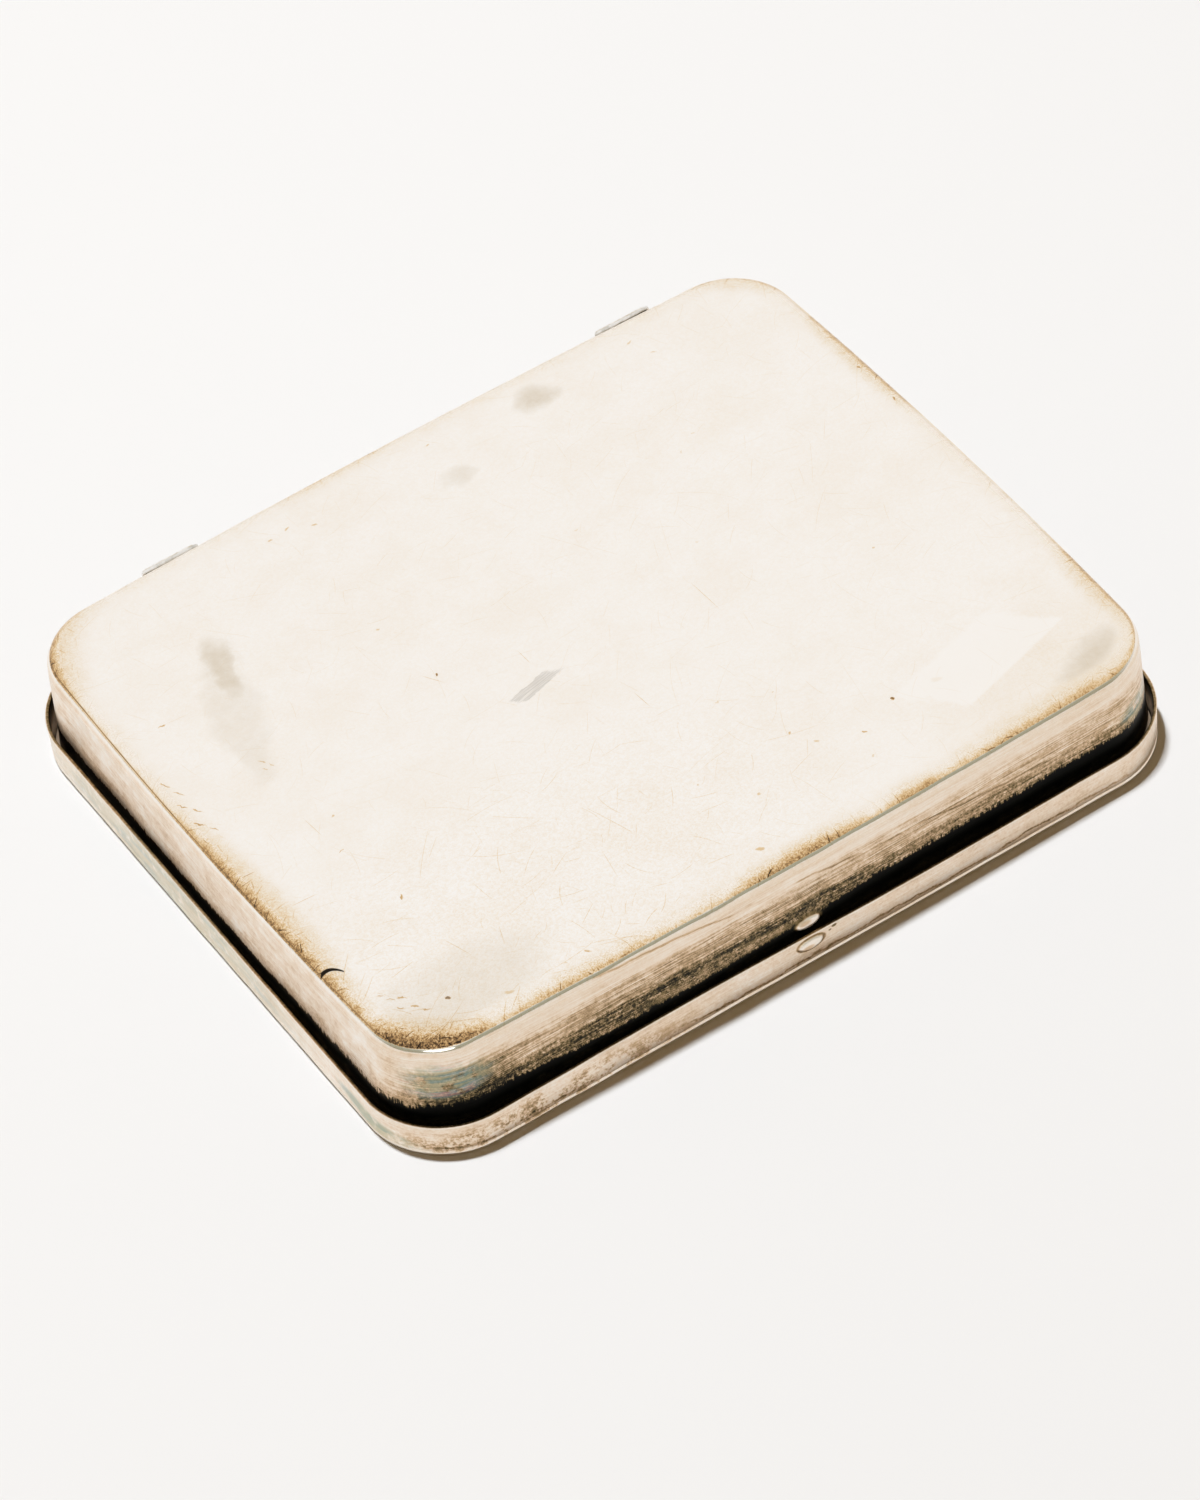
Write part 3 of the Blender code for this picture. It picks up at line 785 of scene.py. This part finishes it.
def make_pan(pan, finish, tree):
    """A pan with its catch boss, shut."""
    item = add_object(pan.name + "_skin", pan.mesh())
    run_tree(item, tree, {
        "Middle": (pan.catch_x, -pan.long_wall(0, pan.catch_z), pan.catch_z),
        "Half Length": CATCH_LENGTH / 2, "Half Breadth": CATCH_BREADTH / 2, "Rise": CATCH_RISE,
        "Shoulder": CATCH_SHOULDER_SHARE, "Finish": finish.material})
    return item


# Hinges

def strip_mesh(name, columns, plate, roll, rolled):
    """A sheet along X with a plate in every column, and a roll in the columns named."""
    bm = bmesh.new()
    rows = [[bm.verts.new((x, y, z)) for x in columns] for y, z in plate + roll]
    for row, (first, second) in enumerate(zip(rows, rows[1:])):
        for near in range(len(columns) - 1):
            far = near + 1
            if row < len(plate) - 1 or near in rolled:
                bm.faces.new((first[near], first[far], second[far], second[near]))
    loose = [vertex for vertex in bm.verts if not vertex.link_faces]
    bmesh.ops.delete(bm, geom=loose, context="VERTS")
    corners = [rows[0][0], rows[0][-1]]
    bmesh.ops.bevel(bm, geom=corners, offset=LEAF_CORNER, segments=LEAF_CORNER_STEPS, profile=0.5,
                    affect="VERTICES")
    return finished_mesh(name, bm)


def roll_points(way):
    """The sheet's middle where it runs to the axis's height and rolls round the pin."""
    turns = np.linspace(2 * QUARTER, 2 * QUARTER - ROLL_TURN, ROLL_STEPS + 1)
    return [(ROLL_RADIUS * math.cos(t), way * ROLL_RADIUS * math.sin(t)) for t in turns]


def thicken(item):
    """Give an open sheet its thickness and round its edges."""
    sheet = item.modifiers.new("sheet", "SOLIDIFY")
    sheet.thickness = LEAF_SHEET
    sheet.offset = 0
    sheet.use_even_offset = True
    edge = item.modifiers.new("edge", "BEVEL")
    edge.width = LEAF_EDGE_ROUNDING
    edge.segments = 2
    edge.limit_method = "ANGLE"
    edge.angle_limit = LEAF_EDGE_ANGLE
    keep_result(item)


def add_leaf(side, name, strip, finish):
    """One leaf, thickened and set at its hinge."""
    item = add_object(side + name, strip_mesh(side + name, *strip), finish)
    thicken(item)
    item.data.transform(at_hinge(side))
    return item


def at_hinge(side):
    """The move from the origin to a hinge's middle."""
    return Matrix.Translation((HINGE_X[side], HINGE_AXIS.y, HINGE_AXIS.z))


def lid_leaf(side, finish):
    """The leaf on the lid's back wall, which holds the middle knuckle."""
    plate = [(-ROLL_RADIUS, LID_LEAF_FOOT - HINGE_AXIS.z), (-ROLL_RADIUS, -KNUCKLE_RADIUS - KNUCKLE_GAP)]
    half, knuckle = HINGE_WIDTH / 2, MIDDLE_KNUCKLE / 2
    columns = (-half, -knuckle, knuckle, half)
    return add_leaf(side, "_lid_leaf_sheet", (columns, plate, roll_points(1), (1,)), finish)


def base_leaf(side, pan, finish):
    """The leaf on the base's back wall: it steps in over the rim and holds the outer knuckles."""
    bottom = KNUCKLE_RADIUS + KNUCKLE_GAP
    bend = bottom + JOGGLE_HEIGHT
    top = SHUT_HEIGHT - BASE_EDGE_RADIUS + BASE_LEAF_RISE - HINGE_AXIS.z
    nearest = min(abs(x) for x in HINGE_X.values())
    low, high = (pan.long_wall(nearest, HINGE_AXIS.z + z) + LEAF_SEAM + LEAF_SHEET / 2 - HINGE_AXIS.y
                 for z in (bend, top))
    plate = [(high, top), (low, bend), (-ROLL_RADIUS, bottom + LEAF_SHEET / 2), (-ROLL_RADIUS, bottom)]
    half, gap = HINGE_WIDTH / 2, MIDDLE_KNUCKLE / 2 + KNUCKLE_GAP
    columns = (-half, -gap, gap, half)
    leaf = add_leaf(side, "_base_leaf_sheet", (columns, plate, roll_points(-1), (0, 2)), finish)
    return leaf, HINGE_AXIS.y + low, HINGE_AXIS.y + high, HINGE_AXIS.z + bend, HINGE_AXIS.z + top


def solder_bead(side, name, start, end, finish, tree):
    """A bead of solder that runs up one side of a leaf, along its end and down the other side."""
    name = side + name
    left, right = HINGE_X[side] - HINGE_WIDTH / 2, HINGE_X[side] + HINGE_WIDTH / 2
    corners = ((left, *start), (left, *end), (right, *end), (right, *start))
    bm = bmesh.new()
    verts = [bm.verts.new(corner) for corner in corners]
    for first, second in zip(verts, verts[1:]):
        bm.edges.new((first, second))
    item = add_object(name, finished_mesh(name, bm))
    run_tree(item, tree, {"Radius": SOLDER_RADIUS, "Unevenness": SOLDER_RADIUS, "Finish": finish.material})
    return item


def hinge_pin(side, finish):
    """The wire through a hinge's knuckles, with a peened head at each end."""
    half = HINGE_WIDTH / 2 + KNUCKLE_GAP
    dome = [(PIN_HEAD_RADIUS * math.cos(t), half + PIN_HEAD_HEIGHT * (0.45 + 0.55 * math.sin(t)))
            for t in np.linspace(0, QUARTER * 0.9, PIN_HEAD_STEPS)]
    profile = [(PIN_RADIUS, half), (PIN_HEAD_RADIUS * 0.95, half)] + dome
    profile = [(radius, -x) for radius, x in profile[::-1]] + profile
    bm = bmesh.new()
    turns = np.linspace(0, math.tau, PIN_STEPS, endpoint=False)
    rings = [[bm.verts.new((x, radius * math.cos(t), radius * math.sin(t))) for t in turns]
             for radius, x in profile]
    for first, second in zip(rings, rings[1:]):
        for near in range(PIN_STEPS):
            far = (near + 1) % PIN_STEPS
            bm.faces.new((first[near], first[far], second[far], second[near]))
    bm.faces.new(rings[0])
    bm.faces.new(rings[-1])
    bmesh.ops.recalc_face_normals(bm, faces=bm.faces)
    mesh = finished_mesh(side + "_pin_wire", bm)
    mesh.transform(at_hinge(side))
    mesh.shade_smooth()
    mesh.set_sharp_from_angle(angle=PIN_SHARP_ANGLE)
    return add_object(mesh.name, mesh, finish)


# Finishes

def border_fringe(plate, reach):
    """Tarnish that grew in from the round edge: grainy flecks and strokes in a thin haze."""
    strokes = plate.hairlines(1.3, 1.9, 0.09, 0.95, 21)
    ragged = plate.mottle * 2.2 + plate.grain * 2.4 + plate.patch * 1.6
    inwards = reach - plate.along
    stain = plate.ovals(plate.spot, BORDER_STAINS, 0.05)
    near = plate.rise(inwards + ragged * 0.5, 0.9 + stain * 1.5, 0.1)
    haze = plate.rise(inwards + ragged * 1.6, 5 + stain * 9, 0) ** 2
    flecks = plate.speck * (0.06 + stain * 0.22) + strokes * (0.08 + stain * 0.28)
    fringe = near * (0.12 + stain * 0.1 + flecks) + haze * (0.07 + stain * 0.12 + flecks * 0.8)
    return fringe * plate.rise(inwards, 0, 0.2)


def label_ghost(plate):
    """A slanted patch that a label kept clean."""
    along, across = plate.measures(plate.spot, LABEL)
    torn = (plate.mottle + plate.patch) * 2.5
    ends = plate.rise(abs(along + across * 0.5) + torn, 9.2, 8)
    return ends * plate.rise(across, -4.7, -4.3) * plate.rise(across + torn * 0.6, 4.4, 3.4)


def base_panel_tarnish(plate):
    """Cloudy, finely scratched plate with nicks, worn clean where a label was."""
    dense = 0.4 + plate.oval(plate.spot, DENSE_WEAR, 0.1, 0.6)
    warm = plate.rise(plate.cloud * 0.6 + plate.patch * 0.4, -0.1, 0.14, 0.028)
    warm = warm + plate.oval(plate.spot, WARM_CORNER, 0, 0.045)
    fine = (plate.speck - 0.45) * 0.13 * dense
    cloudy = 0.02 + warm + plate.patch * 0.04 + dense * 0.014 + fine
    cloudy = cloudy * (1 - 0.8 * label_ghost(plate))
    scratched = plate.hairs(1) * dense * 0.2 + plate.ovals(plate.spot, SCRATCHES, 0.2)
    panel = 0.015 + cloudy + border_fringe(plate, 1.9) + scratched
    wobble = plate.other(plate.noise(plate.spot, 0.7, 2), "Color")
    wobble = plate.scaled(plate.vector("SUBTRACT", wobble, (0.5, 0.5, 0.5)), 0.8)
    return panel.most(plate.ovals(plate.vector("ADD", plate.spot, wobble), NICKS, 0.3))


def base_wall_tarnish_and_shade(plate):
    """Cream at the top, a brown band along the front, and black lower down: painted shade and reflection of
    the dark gap behind the lid's rim.
    """
    x, along = plate.x, plate.along
    front = plate.rise(plate.y, -38, -44)
    left = plate.rise(x, -50, -53)
    broad = plate.streaks(19, 0.8, 0)
    fine = plate.streaks(6, 0.11, 3)
    rubbed = plate.streaks(0.22, 5, 5)
    patch, mottle, grain = plate.patch, plate.mottle, plate.grain
    heavy = plate.on_wall(-14, 9, (34, 9), 0.2)
    level = along + broad * 2.2 + mottle * 1.2 + patch * 1.6
    cream = 0.17 + left * (patch * 0.3 + mottle * 0.2 - 0.01) + fine * 0.34
    cream = cream + broad * 0.16 + mottle * 0.1 + grain * 0.14
    rough_streaks = 1 + fine * 4 + mottle * 1.2 + grain * 1.6
    brown = plate.rise(level, 4.2, 7.2) * (front * (0.11 + heavy * 0.07) + 0.03) * rough_streaks
    corner = plate.rise(x, -36, -47) * plate.rise(level, 3.4, 6.8) * front * 0.26
    corner = corner * (1 + grain * 2 + fine)
    olive = plate.rise(level + rubbed, 8.2, 9.8) * (0.06 + front * 0.12 + heavy * 0.12)
    olive = olive * (1 + grain * 3 + plate.grit * 2)
    line = plate.band(along - (x + 3) * 0.1 * front - patch * 1.4, 4.6, 4.9, 0.14)
    line = line * plate.rise(plate.blotches(7, 9, 3), -0.06, 0.06) * front * 0.2
    # Painted shade: black where the lower wall mirrors the dark gap behind the lid's rim, starting lower
    # near the catch and at the left end
    near_catch = plate.on_wall(-16, 10.6, (26, 7), 0.3, 1.1)
    ragged = rubbed * 1.7 + broad * 1.2 + mottle * 1.2 + grain * 1.2
    black = plate.rise(along - near_catch - left * 0.7 + ragged, 10.2, 11)
    black = black * (1 - plate.rise(along + mottle * 1.4 + grain * 0.8, 12.7, 13.9, 0.36))
    scraped = plate.on_wall(-12, 11, (14, 1.2), 0.3) * plate.rise(fine + mottle + grain, 0, 0.12)
    tarnish = (cream + brown + olive + line + corner).most(black)
    return tarnish.toward(0.32 + grain * 0.6, scraped * 0.9)


def catch_marks(plate, pan, tarnish):
    """The boss's worn top, and its dark outline of tarnish and painted shade, heavier on one side."""
    x = pan.catch_x * MILLIMETRES
    measure = (abs(pan.panel_z - pan.catch_z) + pan.edge_radius * (QUARTER - 1)) * MILLIMETRES
    top = plate.on_wall(x, measure, BOSS_TOP, 0.8)
    # The outline is partly tarnish and partly painted shade round the boss's shoulder, set off to one side
    outline_tarnish_and_shade = plate.on_wall(x + 0.12, measure - 0.12, BOSS_OUTLINE, 0.85)
    tarnish = tarnish.toward(0.6 + plate.grain * 0.5, outline_tarnish_and_shade * 0.8)
    return tarnish.toward(0.08 + plate.on_wall(x - 0.5, measure - 0.3, (1.1, 0.5), 0.3, 0.22), top)


def base_plate(pan):
    """The base's finish."""
    plate = Plate("worn_silver_base", pan.section)
    wall = plate.rise(plate.along, 1.9, 2.6)
    inside = 0.16 + plate.cloud * 0.2 + plate.mottle * 0.08
    on_wall = catch_marks(plate, pan, base_wall_tarnish_and_shade(plate))
    tarnish = base_panel_tarnish(plate).toward(on_wall, wall)
    # Painted reflection: a thin dark line along the left end's round edge, where the bend mirrors the dark
    # strip of room
    painted_edge_reflection = plate.band(plate.along, 1.46, 1.62, 0.1) * plate.rise(plate.x, -50.5, -52)
    tarnish = tarnish.most(painted_edge_reflection * (0.7 + plate.patch * 0.5)).toward(inside, plate.inside)
    stained = plate.on_wall(-49, 7, (8, 3.4), 0.2).most(plate.on_wall(49.5, 9, (5, 2), 0.2))
    film_share = stained * plate.rise(plate.mottle, -0.2, 0.05) * 0.6
    film = plate.rise(plate.streaks(8, 1.3, 6), -0.17, 0.34)
    drawn = plate.streaks(6, 0.3, 9) * 0.014 * wall
    plate.bump(plate.grain * 0.0012 + plate.patch * 0.03 + drawn)
    edge = plate.band(plate.along, 0.3, 3, 0.2)
    dull = 0.31 + plate.mottle * 0.05 + plate.cloud * 0.06
    plate.feed("Roughness", (dull + tarnish * 0.1) * (1 - edge * 0.75))
    colour = plate.colour(tarnish, wall, film, film_share)
    drift = plate.join(plate.patch * 6, plate.cloud * 8)
    smudges = plate.ovals(plate.vector("ADD", plate.spot, drift), SMUDGES, 0)
    smudges = smudges * plate.rise(plate.along, 0, -1.5) * (1 + plate.mottle * 1.2)
    colour = plate.mix(smudges, colour, SMUDGE_GREY)
    colour = plate.mix(panel_smear(plate), colour, SMEAR_GREY)
    # The crescent cut's shade is painted black
    plate.feed("Base Color", plate.mix(black_crescent(plate), colour, CRESCENT_BLACK))
    return plate


def panel_smear(plate):
    """A small grey smear with straight streaks, near the panel's middle."""
    along, across = plate.measures(plate.spot, SMEAR)
    streak = plate.noise(plate.join(along * 0.7, across * 5.5), 1, 3)
    slanted = abs(along + across * 0.28) + (streak - 0.5) * 0.9 + plate.mottle * 0.5
    narrow = abs(across - along * 0.25) + plate.mottle * 0.7
    within = plate.rise(slanted, 0.98, 0.84) * plate.rise(narrow, 0.95, 0.78)
    return within * plate.rise(streak, 0.25, 0.6, 0.75) * (1 - plate.inside)


def black_crescent(plate):
    """A short bent cut at the panel's left edge, with its shade painted black."""
    along, across = plate.measures(plate.spot, CRESCENT)
    across = across + along * along * 0.22
    thick = 0.23 - along * 0.09
    return plate.rise(abs(across), thick + 0.05, thick - 0.06) * plate.rise(abs(along), 1.45, 1.3)


def lid_plate(pan):
    """The lid's finish: a pinkish beige wall with tarnish low on its front."""
    plate = Plate("worn_silver_lid", pan.section)
    lip = pan.section.lip_start * MILLIMETRES
    x, along = plate.x, plate.along
    patch, mottle, grain = plate.patch, plate.mottle, plate.grain
    front = plate.rise(plate.y, -40, -45)
    left = plate.rise(x, -51, -54)
    broad = plate.streaks(14, 0.8, 1)
    fine = plate.streaks(4, 0.12, 4)
    wall = 0.2 - left * 0.06 + fine * 0.26 + broad * 0.24
    wall = wall + grain * 0.26 + mottle * 0.14 + patch * 0.2
    brown = plate.on_wall(-38, 2.2, (24, 3.2), 0.1) * plate.rise(mottle + patch + grain * 0.8, -0.14, 0.16)
    line = plate.band(along - patch * 2.2 - mottle * 0.7, 1.8, 2.05, 0.2)
    line = line * plate.rise(plate.cloud, -0.1, 0.04)
    wall = wall + brown * 0.24 + line * (front * 0.3 + 0.05) * (1 + grain * 2)
    near_lip = plate.band(along, lip - 0.12, lip + 0.25, 0.1)
    wall = wall * (1 - 0.85 * plate.rise(along, 1.2, 0.8)) * (1 - 0.5 * near_lip)
    wall = wall + plate.rise(along, lip + 0.04, lip + 0.24) * (0.36 + grain * 0.4)
    wall = wall.most(plate.on_wall(2.9, 5.1, (0.5, 0.35), 0.4, 0.6))
    wall = wall.most(plate.on_wall(2.3, 4.7, (0.3, 0.2), 0.4, 0.55))
    wall = catch_marks(plate, pan, wall)
    inside = 0.2 + plate.cloud * 0.22 + mottle * 0.08
    # Painted shade: the rim's inner wall next to the lip is made nearly black, as the dark gap between the
    # rim and the base
    inside = inside + plate.rise(along + mottle * 0.8, lip + 3.4, lip + 1.2) * 0.5
    panel = 0.05 + plate.cloud * 0.16 + mottle * 0.05
    panel = panel + border_fringe(plate, 0.5) * 0.6 + plate.hairs(11) * 0.1
    share = plate.rise(along, 0.2, 0.8)
    tarnish = panel.toward(wall, share).toward(inside, plate.inside)
    beside = plate.join(plate.y, along)
    wedge = plate.ovals(beside, LID_FILM, 0.3) * left
    film_share = wedge * plate.rise(mottle, -0.25, 0) * 0.85
    film = plate.rise(plate.streaks(9, 1.3, 6), -0.2, 0.3, 0.5)
    burr = plate.rise(along, 1.4, 0.9, 0.6)
    plate.bump(grain * 0.0015 + patch * 0.03 + plate.streaks(6, 0.3, 9) * 0.012 + burr)
    plate.feed("Roughness", 0.31 + mottle * 0.05 + tarnish * 0.1)
    plate.feed("Base Color", plate.colour(tarnish, share, film, film_share))
    return plate


def hinge_finish(name, tints, roughness):
    """Dull metal with patches of tarnish."""
    metal = Finish(name, Metallic=1)
    patches = metal.blotches(0, 1.4, 4, 0.65)
    grain = metal.blotches(0, 0.18, 2)
    metal.feed("Base Color", metal.ramp(metal.rise(patches + grain * 0.2, -0.25, 0.25), tints))
    metal.feed("Roughness", roughness + patches * 0.25)
    metal.bump(grain * 0.006 + patches * 0.02)
    return metal


# The camera and the room

def make_camera():
    """A camera with a long lens, turned to the box from its front left."""
    camera = add_object("camera", bpy.data.cameras.new("camera"))
    camera.data.lens = LENS_LENGTH
    camera.data.sensor_width = SENSOR_WIDTH
    camera.data.clip_start, camera.data.clip_end = VIEW_REACH
    turned = Matrix.Rotation(VIEW_AZIMUTH, 4, "Z") @ Matrix.Rotation(QUARTER - VIEW_ELEVATION, 4, "X")
    turned = turned @ Matrix.Rotation(VIEW_ROLL, 4, "Z")
    camera.matrix_world = turned @ Matrix.Translation((0, -VIEW_DROP, VIEW_DISTANCE))
    bpy.context.scene.camera = camera


def make_room():
    """A white table under a bright ceiling, with a dark strip of room in front of it."""
    bpy.context.scene.view_settings.view_transform = "Standard"
    world = bpy.data.worlds.new("studio")
    bpy.context.scene.world = world
    world.use_nodes = True
    nodes = Nodes(world.node_tree)
    x, y, height = nodes.split(nodes.add("ShaderNodeTexCoord", output="Generated"))
    in_front = nodes.rise(x * -0.45 + y * -0.9, -0.6, 0.6)
    top = in_front * 0.36 + 0.03
    ceiling = nodes.rise(height, top * 0.75, top * 1.25)
    strip = nodes.mix(in_front, ROOM_LIGHT, STRIP_LIGHT)
    light = nodes.mix(ceiling, strip, CEILING_LIGHT)
    light = nodes.mix(nodes.rise(height, 0.02, -0.04), light, TABLE_LIGHT)
    soft = nodes.add("ShaderNodeLightPath", output="Diffuse Depth")
    light = nodes.mix(soft, light, SHADE_LIGHT)
    light = nodes.mix(nodes.other(soft, "Is Camera Ray"), light, BACKDROP)
    nodes.put(world.node_tree.nodes["Background"].inputs["Color"], light)

    bm = bmesh.new()
    bmesh.ops.create_grid(bm, x_segments=8, y_segments=8, size=TABLE_REACH)
    paper = Finish("white_table", Roughness=0.8)
    paper.feed("Base Color", paper.mix(paper.noise(paper.spot, 60), *TABLE_WHITES))
    add_object("table", finished_mesh("table", bm), paper)

    key = add_light("key", *KEY_LIGHT)
    key.visible_glossy = False
    glint = add_light("glint", *GLINT_LIGHT)
    glint.data.shape = "ELLIPSE"
    glint.data.size_y = GLINT_HEIGHT
    glint.visible_diffuse = False


def add_light(name, place, size, power, colour):
    """A flat light that faces the box."""
    light = bpy.data.lights.new(name, "AREA")
    light.energy = power
    light.size = size
    light.color = colour
    lamp = add_object(name, light)
    lamp.location = place
    lamp.rotation_euler = lamp.location.to_track_quat("Z", "Y").to_euler()
    return lamp


def ride(item, body, slot, *nodes):
    """Attach a piece to its body and hide the nodes that it stands for. The slot is not used."""
    if nodes:
        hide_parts(*nodes)
    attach(item, body)


def main():
    """Set up the room, then build every piece of the box."""
    make_camera()
    make_room()
    lid_pan, base_pan = LidPan(), BasePan()
    bosses, solder = boss_tree(), solder_tree()
    lid = make_pan(lid_pan, lid_plate(lid_pan), bosses)
    base = make_pan(base_pan, base_plate(base_pan), bosses)
    base.data.transform(base_turn())
    ride(lid, "lid", "lid_silver", "lid_pan")
    ride(base, "base", "base_silver", "base_pan")
    leaf_metal = hinge_finish("dull_leaf_silver", LEAF_TINTS, 0.42)
    solder_metal = hinge_finish("grey_solder", SOLDER_TINTS, 0.48)
    pin_metal = hinge_finish("pin_wire_steel", PIN_TINTS, 0.38)
    in_seam = LEAF_SHEET / 2 + LEAF_SEAM / 2
    wall = HINGE_AXIS.y - KNUCKLE_RADIUS - LEAF_SEAM / 2
    lid_seam = ((wall, HINGE_AXIS.z - KNUCKLE_RADIUS), (wall, LID_LEAF_FOOT))
    for side in SIDES:
        ride(lid_leaf(side, leaf_metal), "lid", "leaf_silver", side + "_lid_leaf")
        leaf, low, high, bend, top = base_leaf(side, base_pan, leaf_metal)
        leaf.data.transform(base_turn())
        ride(leaf, "base", "leaf_silver", side + "_base_leaf")
        ride(hinge_pin(side, pin_metal), "lid", "pin_steel", side + "_hinge_pin")
        base_seam = ((low - in_seam, bend), (high - in_seam, top))
        bead = solder_bead(side, "_base_solder", *base_seam, solder_metal, solder)
        bead.data.transform(base_turn())
        ride(bead, "base", "leaf_silver")
        ride(solder_bead(side, "_lid_solder", *lid_seam, solder_metal, solder), "lid", "leaf_silver")


main()
